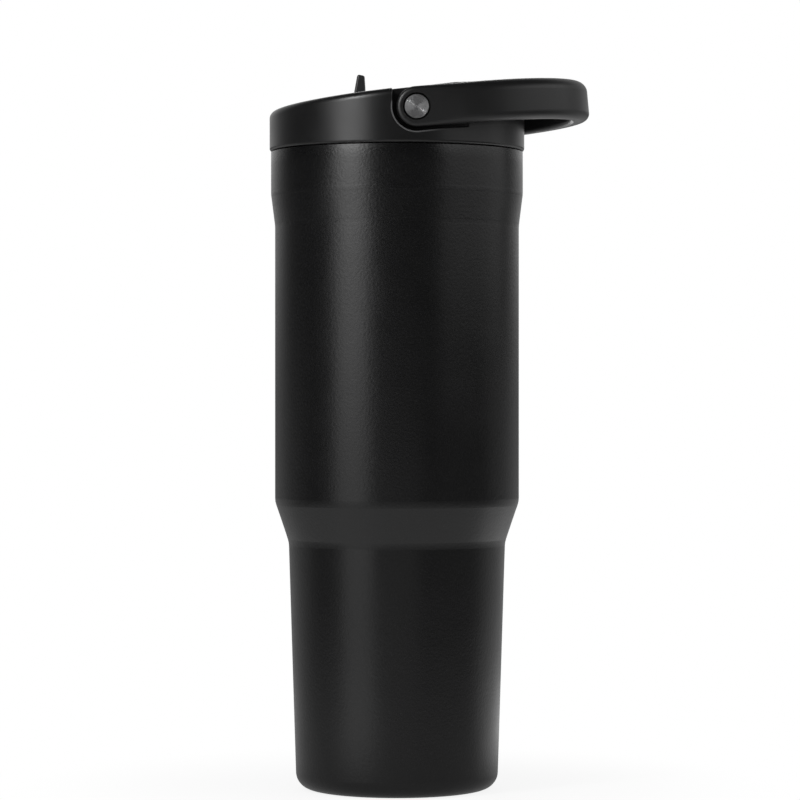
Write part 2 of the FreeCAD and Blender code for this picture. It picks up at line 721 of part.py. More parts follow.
def arm_section(upper, lower):
    """Cross-section of an arm as (sideways, up) corners, with the rounds of its outer edges."""
    low = "-arm_half_height"
    top = "arm_half_height"
    r = "handle_round"
    return [("arm_inner + " + r, low), ("handle_outer - " + lower, low, lower),
            ("handle_outer", low + " + " + lower), ("handle_outer", top + " - " + upper, upper),
            ("handle_outer - " + upper, top), ("arm_inner + " + r, top, r),
            ("arm_inner", top + " - " + r), ("arm_inner", low + " + " + r, r)]


def make_handle():
    body = new_body("handle")
    bar = draw(new_sketch(body, "bar_section", "YZ_Plane", "arm_length"),
               arm_section("bar_round", "bar_under_round"))
    revolve(body, "bar", bar, 180, backwards=True)
    start = draw(new_sketch(body, "arm_start", "YZ_Plane", "arm_length"),
                 arm_section("bar_round", "bar_under_round"))
    finish = draw(new_sketch(body, "arm_finish", "YZ_Plane"), arm_section("handle_round", "handle_round"))
    arm = feature(body, "AdditiveLoft", "arm", start)
    arm.Sections = [finish]
    arm.Ruled = True
    doc.recompute()
    mirror(body, "arm_far", [arm], "XZ_Plane")
    r = "handle_round"
    half = [("0", "arm_inner"), ("arm_half_height - " + r, "arm_inner", r),
            ("arm_half_height", "arm_inner + " + r), ("arm_half_height", "handle_outer - " + r, r),
            ("arm_half_height - " + r, "handle_outer"), ("0", "handle_outer")]
    hub = revolve(body, "hub", draw(new_sketch(body, "hub_section", "XY_Plane"), half))
    mirror(body, "hub_far", [hub], "XZ_Plane")
    cut_round(body, "bush_bore", "0", "0", "pin_radius + pin_clearance + bush_wall", "arm_inner - 1")
    cut_round(body, "cap_recess", "0", "0", "cap_radius + cap_gap", "hub_floor")
    place(body, x="pivot_x", z="pivot_z", axis=Vector(0, -1, 0), angle="handle_tilt")
    return body


# ---- what is stacked on each pivot, turned about its own Z axis and pointed outwards ----

def pivot_pin(name):
    body = turned(name, [
        ("screw_radius", "boss_end"), ("pin_radius", "boss_end"), ("pin_radius", "cap_top - cap_thickness"),
        ("cap_radius", "cap_top - cap_thickness"), ("cap_radius", "cap_top"), ("0", "cap_top"),
        ("0", "boss_end + screw_grip"), ("screw_radius", "boss_end + screw_grip")])
    round_edges(body, "cap_edge", "cap_thickness / 5", lambda edge: is_ring(edge, "cap_radius", "cap_top"))
    return body


def pivot_bush(name):
    bore = "pin_radius + pin_clearance"
    return turned(name, [
        (bore, "arm_inner"), (bore + " + bush_wall", "arm_inner"), (bore + " + bush_wall", "hub_floor"),
        ("cap_radius + cap_gap / 2", "hub_floor"), ("cap_radius + cap_gap / 2", "hub_floor + bush_flange"),
        (bore, "hub_floor + bush_flange")])


def pivot_washer(name):
    return turned(name, rectangle("pin_radius", "recess_plane",
                                  "washer_radius", "recess_plane + washer_thickness"))


def pivot_screw(name):
    return turned(name, [
        ("0", "boss_end - screw_head_height"), ("screw_head_radius", "boss_end - screw_head_height"),
        ("screw_head_radius", "boss_end"), ("screw_radius", "boss_end"),
        ("screw_radius", "boss_end + screw_grip"), ("0", "boss_end + screw_grip")])


def make_pivot(side, turn):
    stack = [maker("%s_%s" % (name, side)) for name, maker in (
        ("pivot_pin", pivot_pin), ("pivot_bush", pivot_bush),
        ("pivot_washer", pivot_washer), ("pivot_screw", pivot_screw))]
    for body in stack:
        place(body, x="pivot_x", z="pivot_z", axis=Vector(turn, 0, 0), angle="90")
    return stack


rocker = make_spout_rocker()
parts = [make_outer_shell(), make_inner_liner(), make_base_cap(), make_base_disc(), make_vacuum_seal(),
         make_getter(), make_lid_cover(), make_lid_plug(), make_lid_gasket(), make_vent_valve(),
         make_straw_collar(), make_straw(), make_spout_seal(), rocker, make_spout_mouthpiece(rocker),
         make_handle()]
parts += make_pivot("near", 1) + make_pivot("far", -1)
doc.recompute()

for item in doc.Objects:
    if "Invalid" in item.State or "Error" in item.State:
        raise RuntimeError(item.Label + " did not rebuild")
for part in parts:
    if part.Shape.isNull() or not part.Shape.isValid() or len(part.Shape.Solids) != 1:
        raise RuntimeError(part.Label + " is not one sound solid")

os.makedirs("parts", exist_ok=True)
for part in parts:
    part.Shape.exportStep("parts/%s.step" % part.Label)
    print("%-18s %9.1f mm3" % (part.Label, part.Shape.Volume))
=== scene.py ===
import math
import bpy
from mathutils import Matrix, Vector


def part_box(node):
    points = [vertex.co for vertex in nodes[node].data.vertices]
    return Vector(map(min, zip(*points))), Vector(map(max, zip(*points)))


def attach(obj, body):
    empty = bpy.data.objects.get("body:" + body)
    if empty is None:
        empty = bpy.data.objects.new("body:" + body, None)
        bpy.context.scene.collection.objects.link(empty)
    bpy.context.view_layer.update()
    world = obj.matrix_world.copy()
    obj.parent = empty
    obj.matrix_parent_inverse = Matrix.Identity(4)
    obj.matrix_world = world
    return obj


# Insulated travel mug: finishes, threads, weld bead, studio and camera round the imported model.
# Metres, z = 0 on the floor, the handle towards +X and the drinking side towards -X.

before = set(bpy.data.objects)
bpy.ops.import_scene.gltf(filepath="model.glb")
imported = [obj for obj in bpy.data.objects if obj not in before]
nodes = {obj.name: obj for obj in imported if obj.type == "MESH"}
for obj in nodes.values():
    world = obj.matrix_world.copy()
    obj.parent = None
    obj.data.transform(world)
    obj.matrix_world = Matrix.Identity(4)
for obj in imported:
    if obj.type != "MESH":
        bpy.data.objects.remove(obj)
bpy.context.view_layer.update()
mm = 0.001


# One shader socket that can be used in arithmetic; every operation adds its Math node.
class Wire:
    def __init__(self, bench, socket):
        self.bench = bench
        self.socket = socket

    def __add__(self, other):
        return self.bench.math("ADD", self, other)

    def __sub__(self, other):
        return self.bench.math("SUBTRACT", self, other)

    def __rsub__(self, other):
        return self.bench.math("SUBTRACT", other, self)

    def __mul__(self, other):
        return self.bench.math("MULTIPLY", self, other)

    __radd__ = __add__
    __rmul__ = __mul__

    def sibling(self, name):
        # another output of the same node
        return Wire(self.bench, self.socket.node.outputs[name])


# The node tree of one material or of the world.
class Bench:
    def __init__(self, owner):
        owner.use_nodes = True
        self.tree = owner.node_tree

    def connect(self, node, inputs):
        for name, given in inputs.items():
            if isinstance(given, Wire):
                self.tree.links.new(given.socket, node.inputs[name])
            else:
                node.inputs[name].default_value = given

    def node(self, kind, settings, inputs, output=0):
        made = self.tree.nodes.new(kind)
        for name, setting in settings.items():
            setattr(made, name, setting)
        self.connect(made, inputs)
        return Wire(self, made.outputs[output])

    def math(self, operation, first, second=0.0):
        return self.node("ShaderNodeMath", {"operation": operation}, {0: first, 1: second})

    def vector(self, operation, first, second=(0.0, 0.0, 0.0), output=0):
        return self.node("ShaderNodeVectorMath", {"operation": operation},
                         {0: first, 1: second}, output)

    def lengthOf(self, arrow):
        return self.vector("LENGTH", arrow, output="Value")

    def scaled(self, arrow, factor):
        return self.node("ShaderNodeVectorMath", {"operation": "SCALE"},
                         {0: arrow, "Scale": factor})

    def partOf(self, arrow, axis):
        return self.node("ShaderNodeSeparateXYZ", {}, {"Vector": arrow}, axis)

    def place(self):
        # where a point lies on the mug at rest, in metres
        return self.node("ShaderNodeTexCoord", {}, {}, "Object")

    def noise(self, size, detail=2.0, where=None):
        # grey noise from 0 to 1 with features of about this size in metres
        inputs = {"Vector": where or self.place(), "Scale": 1 / size, "Detail": detail}
        return self.node("ShaderNodeTexNoise", {}, inputs)

    def spread(self, value, low, high, newLow=0.0, newHigh=1.0):
        inputs = {"Value": value, 1: low, 2: high, 3: newLow, 4: newHigh}
        return self.node("ShaderNodeMapRange", {"interpolation_type": "SMOOTHSTEP"}, inputs)

    def fall(self, value, low, high):
        return self.spread(value, low, high, 1.0, 0.0)

    def vary(self, noise, low, high):
        # noise seldom leaves the middle of its range
        return self.spread(noise, 0.3, 0.7, low, high)

    def ramp(self, value, low, high):
        # straight from 0 to 1
        inputs = {"Value": value, 1: low, 2: high, 3: 0.0, 4: 1.0}
        return self.node("ShaderNodeMapRange", {}, inputs)

    def shared(self, first, second, share):
        return first * share + second * (1 - share)

    def blend(self, factor, first, second):
        # a colour is a wire or three numbers
        first, second = (colour if isinstance(colour, Wire) else (*colour, 1)
                         for colour in (first, second))
        return self.node("ShaderNodeMix", {"data_type": "RGBA"},
                         {"Factor": factor, 6: first, 7: second}, 2)

    def bump(self, height, depth, **more):
        # a relief of this depth in metres
        return self.node("ShaderNodeBump", {},
                         {"Height": height, "Strength": 1.0, "Distance": depth, **more})

    def emission(self, strength):
        return self.node("ShaderNodeEmission", {}, {"Strength": strength})

    def mixShader(self, factor, first, second):
        return self.node("ShaderNodeMixShader", {}, {"Fac": factor, 1: first, 2: second})


class Finish(Bench):
    def __init__(self, name, constants):
        self.material = bpy.data.materials.new(name)
        super().__init__(self.material)
        self.shader = self.tree.nodes["Principled BSDF"]
        self.connect(self.shader, constants)

    def finish(self, **surface):
        sockets = {"colour": "Base Color", "roughness": "Roughness", "normal": "Normal"}
        self.connect(self.shader, {sockets[word]: given for word, given in surface.items()})
        return self.material


def shaded(colour, factor):
    return tuple(factor * channel for channel in colour)


powderCoat = {
    "ior": 1.5,
    "colour": (0.0026, 0.0026, 0.0028),
    "speckColour": (0.0085, 0.0085, 0.009),
    "specks": (0.60, 0.74),       # how high the grain stands where a speck shows
    "roughness": (0.28, 0.34),
    "patchShare": 0.5,            # of the change in roughness; the pebbles make the rest
    "rubbed": 12 * mm,            # how far under the lid handling has smoothed the coat
    "rubbedRoughness": 0.27,
    "pebbleSize": 0.95 * mm,      # orange peel of the cured coat
    "pebbleDepth": 0.052 * mm,
    "grainSize": 0.30 * mm,
    "grainDepth": 0.007 * mm,
    "waveSize": 7 * mm,
    "waveDepth": 0.03 * mm,
    "patchSize": 16 * mm,
    "flare": (202.0 * mm, 213.5 * mm),   # heights between which the coat softens the flare
    "flareRound": 0.9 * mm,
    "flareFill": 1.25 * mm,
    "rollHeight": 4.5 * mm,       # the rim's edge is rolled in a little under the lid
    "rollDepth": 0.26 * mm,
}


def makePowderCoat():
    coat = Finish("powderCoat", {"IOR": powderCoat["ior"]})
    pebble = coat.noise(powderCoat["pebbleSize"], 2.0)
    grain = coat.noise(powderCoat["grainSize"], 1.0)
    wave = coat.noise(powderCoat["waveSize"], 1.0)
    patches = coat.noise(powderCoat["patchSize"], 3.0)
    height = coat.partOf(coat.place(), "Z")
    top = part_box("outer_shell")[1].z
    (low, high), half = powderCoat["flare"], powderCoat["flareRound"]
    inside = coat.ramp(height, low - half, high - half)
    outside = coat.ramp(height, low + half, high + half)
    fill = (inside + outside) * (0.5 * powderCoat["flareFill"] / mm)
    rolled = coat.ramp(height, top - powderCoat["rollHeight"], top)
    texture = (pebble * (powderCoat["pebbleDepth"] / mm)
               + grain * (powderCoat["grainDepth"] / mm)
               + wave * (powderCoat["waveDepth"] / mm))
    relief = texture - fill - rolled * rolled * (powderCoat["rollDepth"] / mm)
    uneven = coat.shared(patches, pebble, powderCoat["patchShare"])
    rough = coat.vary(uneven, *powderCoat["roughness"])
    rubbed = coat.spread(height, top - powderCoat["rubbed"], top)
    specks = coat.spread(grain, *powderCoat["specks"])
    return coat.finish(
        colour=coat.blend(specks, powderCoat["colour"], powderCoat["speckColour"]),
        roughness=rough * (1 - rubbed) + rubbed * powderCoat["rubbedRoughness"],
        normal=coat.bump(relief, mm))


satinPlastic = {
    "ior": 1.49,
    "grainSize": 0.28 * mm,       # spark-eroded texture of the mould
    "grainDepth": 0.006 * mm,
    "flowSize": 18 * mm,          # how the melt ran in the mould
    "dust": (0.62, 0.76),         # how high the grain stands where dust shows
    "sheen": 1.5,                 # how much paler the rubbed places are
    "flowInShade": 0.6,           # against the dust
    "flowInRoughness": 0.7,       # against the grain
    "roughnessSpan": 0.04,
}


def makeSatinPlastic(name, colour, roughness, depth=1.0, paintedHighlight=None):
    plastic = Finish(name, {"IOR": satinPlastic["ior"]})
    grain = plastic.noise(satinPlastic["grainSize"], 2.0)
    flow = plastic.noise(satinPlastic["flowSize"], 2.0)
    dust = plastic.spread(grain, *satinPlastic["dust"])
    shade = plastic.blend(plastic.shared(flow, dust, satinPlastic["flowInShade"]),
                          colour, shaded(colour, satinPlastic["sheen"]))
    span = satinPlastic["roughnessSpan"]
    rough = plastic.vary(plastic.shared(flow, grain, satinPlastic["flowInRoughness"]),
                         roughness - span, roughness + span)
    if paintedHighlight:
        highlightMask = paintedHighlight(plastic)
        # painted highlight: the lid's recess edges are coloured pale and made glossier
        shade = plastic.blend(highlightMask, shade, recessPaintedHighlight["colour"])
        rough = rough * (1 - highlightMask) + highlightMask * recessPaintedHighlight["roughness"]
    return plastic.finish(
        colour=shade, roughness=rough,
        normal=plastic.bump(grain * (depth * satinPlastic["grainDepth"] / mm), mm))


def fromPivot(bench):
    # the arrow from the handle's pivots, which lie along Y, straight out to a point
    low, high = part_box("pivot_pin_near")
    centre = (low + high) / 2
    away = bench.vector("SUBTRACT", bench.place(), (centre.x, 0.0, centre.z))
    return bench.vector("MULTIPLY", away, (1.0, 0.0, 1.0))


# painted highlight along the rounded edge of the lid's recesses: a pale colour and a smoother
# gloss, fading along the edge away from the pivot
recessPaintedHighlight = {
    "colour": (0.09, 0.09, 0.092),
    "roughness": 0.26,
    "radius": 8.47 * mm,          # of the recess round the pivot
    "width": 0.5 * mm,
    "softInside": (-0.02 * mm, 0.12 * mm),   # how the worn band begins and ends
    "softOutside": (-0.1 * mm, 0.15 * mm),
    "rise": math.radians(7.4),    # of the recess's lower edge
    "fade": (-6 * mm, 15 * mm),   # along that edge, measured from the pivot
    "least": 0.07,
    "upTo": (1.5 * mm, 2.5 * mm),   # height over the pivot at which it stops
}


def paintedRecessHighlight(plastic):
    # painted highlight: the rounded edge of the lid's side recesses, beside the handle's arms, is
    # coloured pale and made glossier where it would catch the light
    flat = fromPivot(plastic)
    edge = (math.cos(recessPaintedHighlight["rise"]), 0.0, math.sin(recessPaintedHighlight["rise"]))
    along = plastic.vector("DOT_PRODUCT", flat, edge, "Value")
    nearest = plastic.scaled(edge, plastic.math("MAXIMUM", along, 0.0))
    off = plastic.lengthOf(plastic.vector("SUBTRACT", flat, nearest))
    inner = recessPaintedHighlight["radius"]
    outer = inner + recessPaintedHighlight["width"]
    begin = plastic.spread(off, *(inner + soft for soft in recessPaintedHighlight["softInside"]))
    end = plastic.fall(off, *(outer + soft for soft in recessPaintedHighlight["softOutside"]))
    below = plastic.fall(plastic.partOf(flat, "Z"), *recessPaintedHighlight["upTo"])
    fading = plastic.spread(along, *recessPaintedHighlight["fade"], 1.0, recessPaintedHighlight["least"])
    return begin * end * below * fading


turnedSteel = {
    "colour": (0.56, 0.56, 0.565),
    "dull": 0.8,                  # stained steel against bright
    "lineSize": 0.24 * mm,
    "lineDepth": 0.003 * mm,
    "waver": 0.01,                # keeps the lines from being the same all round
    "stainSize": 9 * mm,
    "lineShare": 0.6,             # of the change in roughness; the stains make the rest
    "roughnessSpan": 0.07,
}


def makeTurnedSteel(name, roughness, colour=None, deep=1.0, wide=1.0):
    # fine lines that run round the mug's axis, on its walls and its floors alike
    steel = Finish(name, {"Metallic": 1.0})
    side = steel.partOf(steel.place(), "X")
    depth, height = side.sibling("Y"), side.sibling("Z")
    radius = steel.math("SQRT", side * side + depth * depth)
    across = steel.node("ShaderNodeCombineXYZ", {},
                        {0: radius, 1: side * turnedSteel["waver"], 2: height})
    lines = steel.noise(wide * turnedSteel["lineSize"], 2.0, across)
    stains = steel.noise(turnedSteel["stainSize"], 3.0)
    bright = colour or turnedSteel["colour"]
    span = turnedSteel["roughnessSpan"]
    return steel.finish(
        colour=steel.blend(stains, shaded(bright, turnedSteel["dull"]), bright),
        roughness=steel.vary(steel.shared(lines, stains, turnedSteel["lineShare"]),
                             roughness - span, roughness + span),
        normal=steel.bump(lines * (deep * turnedSteel["lineDepth"] / mm), mm))


spunCap = {
    "colour": (0.25, 0.25, 0.253),
    "dullColour": (0.20, 0.20, 0.203),
    "paintedShadeColour": (0.006, 0.006, 0.006),   # painted shade: the cap's rim is coloured near black to stand for the dark gap round it
    "edge": (4.02 * mm, 4.25 * mm),
    "ringSize": 0.05 * mm,
    "ringSlope": 0.9,             # how far the rings' flanks lean
    "tornRate": 0.618,            # torn rings to each ring
    "torn": (0.25, 0.45),         # how far across a torn ring it turns from smooth to rough
    "roughness": (0.12, 0.62),    # of smooth and torn rings
    "stainSize": 1.6 * mm,
    "pipDrop": 1.0 * mm,          # small centre mark, a little under the middle
    "pipRadius": 0.42 * mm,
    "pipDepth": 0.05 * mm,
}


def makeSpunCap():
    cap = Finish("spunCap", {"Metallic": 1.0})
    spoke = fromPivot(cap)
    radius = cap.lengthOf(spoke)
    rings = cap.math("FRACT", radius * (1 / spunCap["ringSize"]))
    torn = cap.math("FRACT", radius * (spunCap["tornRate"] / spunCap["ringSize"]))
    outward = cap.node("ShaderNodeVectorTransform", {
        "vector_type": "VECTOR", "convert_from": "OBJECT", "convert_to": "WORLD"},
        {"Vector": cap.vector("NORMALIZE", spoke)})
    sloped = cap.scaled(outward, (rings - 0.5) * (2 * spunCap["ringSlope"]))
    flat = cap.node("ShaderNodeNewGeometry", {}, {}, "Normal")
    turned = cap.vector("NORMALIZE", cap.vector("ADD", flat, sloped))
    fromPip = cap.vector("ADD", spoke, (0.0, 0.0, spunCap["pipDrop"]))
    pip = cap.fall(cap.lengthOf(fromPip), 0.0, spunCap["pipRadius"])
    stain = cap.noise(spunCap["stainSize"], 2.0)
    metal = cap.blend(stain, spunCap["dullColour"], spunCap["colour"])
    return cap.finish(
        # painted shade: the outermost band of the cap is coloured near black
        colour=cap.blend(cap.spread(radius, *spunCap["edge"]), metal, spunCap["paintedShadeColour"]),
        roughness=cap.spread(torn, *spunCap["torn"], *spunCap["roughness"]),
        normal=cap.bump(pip, spunCap["pipDepth"], Normal=turned))


silicone = {
    "ior": 1.42,
    "dustSize": 0.35 * mm,
    "dustDepth": 0.006 * mm,
    "dusty": (0.55, 0.75),        # how high the noise stands where dust clings
    "dustPaler": 1.5,
    "smudgeSize": 12 * mm,
    "roughnessSpan": 0.06,
}


def makeSilicone(name, colour, roughness=0.58):
    rubber = Finish(name, {"IOR": silicone["ior"]})
    dust = rubber.noise(silicone["dustSize"], 3.0)
    smudge = rubber.noise(silicone["smudgeSize"], 2.0)
    span = silicone["roughnessSpan"]
    return rubber.finish(
        colour=rubber.blend(rubber.spread(dust, *silicone["dusty"]),
                            colour, shaded(colour, silicone["dustPaler"])),
        roughness=rubber.vary(smudge, roughness - span, roughness + span),
        normal=rubber.bump(dust * (silicone["dustDepth"] / mm), mm))


smokeStraw = {
    "ior": 1.49,
    "clear": 0.35,                # how much light passes through
    "colour": (0.05, 0.05, 0.053),
    "paleColour": (0.09, 0.09, 0.095),
    "drawSize": 5 * mm,           # faint waves from drawing the tube
    "drawDepth": 0.02 * mm,
    "hazeSize": 0.5 * mm,
    "roughness": (0.16, 0.28),
}


def makeSmokePlastic():
    smoke = Finish("smokeStraw", {"IOR": smokeStraw["ior"],
                                  "Transmission Weight": smokeStraw["clear"]})
    drawn = smoke.noise(smokeStraw["drawSize"], 2.0)
    haze = smoke.noise(smokeStraw["hazeSize"], 2.0)
    return smoke.finish(
        colour=smoke.blend(drawn, smokeStraw["colour"], smokeStraw["paleColour"]),
        roughness=smoke.vary(haze, *smokeStraw["roughness"]),
        normal=smoke.bump(drawn * (smokeStraw["drawDepth"] / mm), mm))


print("finishes")
coatFinish = makePowderCoat()
steelFinish = makeTurnedSteel("bareSteel", 0.30)
plugFinish = makeSatinPlastic("plugPlastic", (0.012, 0.012, 0.0125), 0.42)
lidFinish = makeSatinPlastic("lidPlastic", (0.0048, 0.0048, 0.005), 0.33, paintedHighlight=paintedRecessHighlight)
bushFinish = makeSatinPlastic("bushPlastic", (0.004, 0.004, 0.004), 0.5)
sealFinish = makeSilicone("siliconeDark", (0.015, 0.015, 0.016))
finishes = {
    coatFinish: ["outer_shell"],
    steelFinish: ["inner_liner"],
    makeTurnedSteel("baseSteel", 0.36, deep=4.0, wide=5.0): ["base_cap", "base_disc"],
    makeTurnedSteel("sealSolder", 0.45, (0.4, 0.38, 0.35)): ["vacuum_seal"],
    makeTurnedSteel("getterAlloy", 0.6, (0.25, 0.25, 0.26)): ["getter"],
    lidFinish: ["lid_cover"],
    plugFinish: ["lid_plug", "straw_collar"],
    makeSatinPlastic("handlePlastic", (0.0046, 0.0046, 0.0048), 0.42, 1.3): ["handle"],
    makeSatinPlastic("spoutPlastic", (0.012, 0.012, 0.0125), 0.40): ["spout_rocker"],
    bushFinish: ["pivot_bush_near", "pivot_bush_far"],
    sealFinish: ["lid_gasket", "spout_seal", "vent_valve"],
    makeSilicone("siliconeMouth", (0.022, 0.022, 0.023), 0.5): ["spout_mouthpiece"],
    makeSmokePlastic(): ["straw"],
    makeSpunCap(): ["pivot_pin_near", "pivot_pin_far"],
    makeTurnedSteel("platedSteel", 0.33, (0.45, 0.45, 0.46)): [
        "pivot_washer_near", "pivot_washer_far", "pivot_screw_near", "pivot_screw_far"],
}
for material, names in finishes.items():
    for name in names:
        nodes[name].data.materials.clear()
        nodes[name].data.materials.append(material)


def makePiece(name, points, faces, material, body):
    mesh = bpy.data.meshes.new(name)
    mesh.from_pydata(points, [], faces)
    mesh.validate()
    mesh.shade_smooth()
    mesh.materials.append(material)
    piece = bpy.data.objects.new(name, mesh)
    bpy.context.scene.collection.objects.link(piece)
    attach(piece, body)


def arch(spans):
    # cosines and sines of a half circle
    angles = [math.pi * turn / spans for turn in range(spans + 1)]
    return [(math.cos(angle), math.sin(angle)) for angle in angles]


def sweepRound(sectionAt, steps, closed):
    # points and faces of a section that changes as it goes round the mug; sectionAt gives its
    # corners as (radius, height), and the angle
    points, faces = [], []
    for step in range(steps):
        corners, angle = sectionAt(step)
        points += [(radius * math.cos(angle), radius * math.sin(angle), height)
                   for radius, height in corners]
    count = len(points) // steps
    for step in range(steps if closed else steps - 1):
        here, there = step * count, (step + 1) % steps * count
        for corner in range(count):
            after = (corner + 1) % count
            faces.append((here + corner, here + after, there + after, there + corner))
    if not closed:
        faces.append(tuple(range(count - 1, -1, -1)))
        faces.append(tuple(range((steps - 1) * count, steps * count)))
    return points, faces


thread = {
    "pitch": 4.2 * mm,
    "turns": 2.2,
    "width": 2.6 * mm,
    "depth": 0.62 * mm,
    "runOut": 0.06,               # share of its length in which it dies away at each end
    "endWidth": 0.4,              # how wide its very end still is
    "sunk": 0.15 * mm,            # how far its foot is let into the wall
    "startAbovePlug": 3.4 * mm,
    "gasketGap": 0.3 * mm,        # gasket to the neck
    "wallSpace": 1.7 * mm,        # neck to the plug's wall
    "stepsPerTurn": 96,
    "spans": 8,                   # flats across its round back
}


def makeThread(name, wallRadius, lowest, outward, material, body):
    # a rounded ridge that climbs round a wall
    steps = int(thread["turns"] * thread["stepsPerTurn"]) + 1

    def ridge(step):
        share = step / (steps - 1)
        grown = min(1.0, share / thread["runOut"], (1 - share) / thread["runOut"])
        depth = thread["depth"] * grown
        half = thread["width"] / 2 * (thread["endWidth"] + (1 - thread["endWidth"]) * grown)
        height = lowest + share * thread["turns"] * thread["pitch"]
        corners = [(wallRadius + outward * (depth * sine - thread["sunk"]), height - half * cosine)
                   for cosine, sine in arch(thread["spans"])]
        return corners, share * thread["turns"] * 2 * math.pi

    points, faces = sweepRound(ridge, steps, False)
    if outward < 0:
        faces = [face[::-1] for face in faces]
    makePiece(name, points, faces, material, body)


print("threads")
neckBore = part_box("lid_gasket")[1].x + thread["gasketGap"]
plugWall = neckBore - thread["wallSpace"]
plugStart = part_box("lid_plug")[0].z + thread["startAbovePlug"]
neckStart = plugStart + thread["pitch"] / 2
makeThread("plugThread", plugWall, plugStart, 1, plugFinish, "lid")
makeThread("neckThread", neckBore, neckStart, -1, steelFinish, "flask")


rimBead = {
    "wall": 0.8 * mm,             # the coated shell that the liner's lip is welded to
    "halfWidth": 0.55 * mm,
    "proud": 0.16 * mm,
    "sunk": 0.2 * mm,
    "rippleDepth": 0.03 * mm,     # the laser's overlapping spots
    "rippleCount": 240,
    "stepsPerRipple": 3,
    "spans": 6,
}


def makeRimBead():
    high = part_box("outer_shell")[1]
    middle = high.x - rimBead["wall"]
    perRipple = rimBead["stepsPerRipple"]
    steps = rimBead["rippleCount"] * perRipple

    def section(step):
        ripple = rimBead["rippleDepth"] * math.sin(2 * math.pi * step / perRipple)
        rise = rimBead["proud"] + rimBead["sunk"] + ripple
        corners = [(middle - rimBead["halfWidth"] * cosine, high.z + rise * sine - rimBead["sunk"])
                   for cosine, sine in arch(rimBead["spans"])]
        return corners, 2 * math.pi * step / steps

    points, faces = sweepRound(section, steps, True)
    faces = [face[::-1] for face in faces]
    makePiece("rimBead", points, faces, steelFinish, "flask")


print("rim bead")
makeRimBead()


air = {
    "soft": 0.5,                  # soft light from all round
    "room": 0.015,                # what gloss sees of the dark room in front
    "backdrop": 0.85,             # and of the backdrop
    "backdropEdge": (0.38, 1.0),
    "lowBackdrop": (0.0, 0.09, 0.12),   # the backdrop is dimmer level with the mug
}


def makeAir():
    world = bpy.data.worlds.new("studioAir")
    bpy.context.scene.world = world
    studio = Bench(world)
    world.cycles.sampling_method = "NONE"
    seen = studio.node("ShaderNodeLightPath", {}, {}, "Is Camera Ray")
    mirrored = seen.sibling("Is Glossy Ray")
    white = seen + seen.sibling("Is Transmission Ray")
    direction = studio.node("ShaderNodeTexCoord", {}, {}, "Generated")
    depth = studio.partOf(direction, "Y")
    dimFrom, dimTo, dim = air["lowBackdrop"]
    rising = studio.spread(depth.sibling("Z"), dimFrom, dimTo, dim, 1.0)
    backdrop = rising * studio.spread(depth, *air["backdropEdge"], 0.0, air["backdrop"])
    gloss = air["room"] + backdrop
    level = white + (1 - white) * (mirrored * gloss + (1 - mirrored) * air["soft"])
    studio.connect(studio.tree.nodes["Background"], {"Color": (1, 1, 1, 1), "Strength": level})


floor = {
    "reach": 8.0,
    "below": 0.02 * mm,           # under the foot, so that the two don't share a plane
    "colour": (0.86, 0.86, 0.86),
    "roughness": 0.9,
    "shadow": 0.13,               # how much of the mug's shadow shows beside its foot
    "shadowReach": (0.045, 0.15),
}

# What gloss sees of the floor. Each row says where a glow begins and ends, along the way that
# it is named for, and then how strong it is.
floorGlow = {
    "strength": 1.5,
    "away": 0.085,                # far off
    "under": 0.23,                # under the mug
    "lit": 0.28,
    "litSteep": 0.46,             # where gloss looks steeply down on it, as the cone does
    "steep": (0.35, 0.80),        # from steep to shallow
    "litFrom": (0.03, 0.12),      # distances at which the lit floor begins and ends
    "litTo": (0.15, 0.50),
    "right": (0.05, 0.13, 0.42),
    "rightFront": (-0.03, 0.06),  # where the glow on the right ends towards the front
    "back": (0.05, 0.30, 0.20),
    "backLeft": (-0.15, 0.15, 0.7),   # it is weaker to the left
    "backEnd": (1.2, 3.5, 0.15),      # and far off
    "front": (-0.5, -1.2, 0.03),
    "frontRight": (0.2, 0.9),     # where the glow in front ends to the right
    "keyTurn": -40.5,             # a patch under the key light
    "keyDistance": 0.19,
    "key": (0.03, 0.12, 0.50),
}


def glowOf(paper):
    side = paper.partOf(paper.place(), "X")
    depth = side.sibling("Y")
    radius = paper.lengthOf(paper.place())
    grazing = paper.node("ShaderNodeLayerWeight", {}, {}, "Facing")
    shallow = paper.spread(grazing, *floorGlow["steep"])
    steepLit = floorGlow["litSteep"]
    lit = steepLit - (steepLit - floorGlow["lit"]) * shallow
    away, under = floorGlow["away"], floorGlow["under"]
    begun = paper.spread(radius, *floorGlow["litFrom"])
    ending = paper.fall(radius, *floorGlow["litTo"])
    middle = away + ending * ((under - away) + (lit - under) * begun)
    start, end, level = floorGlow["right"]
    right = paper.spread(side, start, end, 0.0, level)
    right = ending * right * paper.spread(depth, *floorGlow["rightFront"])
    start, end, level = floorGlow["back"]
    behind = paper.spread(depth, start, end, 0.0, level)
    start, end, level = floorGlow["backLeft"]
    behind = behind * paper.spread(side, start, end, level, 1.0)
    start, end, level = floorGlow["backEnd"]
    behind = behind * paper.spread(depth, start, end, 1.0, level)
    start, end, level = floorGlow["front"]
    ahead = paper.spread(depth, start, end, 0.0, level)
    ahead = ahead * paper.fall(side, *floorGlow["frontRight"])
    turn, distance = math.radians(floorGlow["keyTurn"]), floorGlow["keyDistance"]
    patch = (distance * math.sin(turn), -distance * math.cos(turn), 0.0)
    start, end, level = floorGlow["key"]
    fromPatch = paper.lengthOf(paper.vector("SUBTRACT", paper.place(), patch))
    key = shallow * paper.spread(fromPatch, start, end, level, 0.0)
    return middle + right + behind + ahead + key


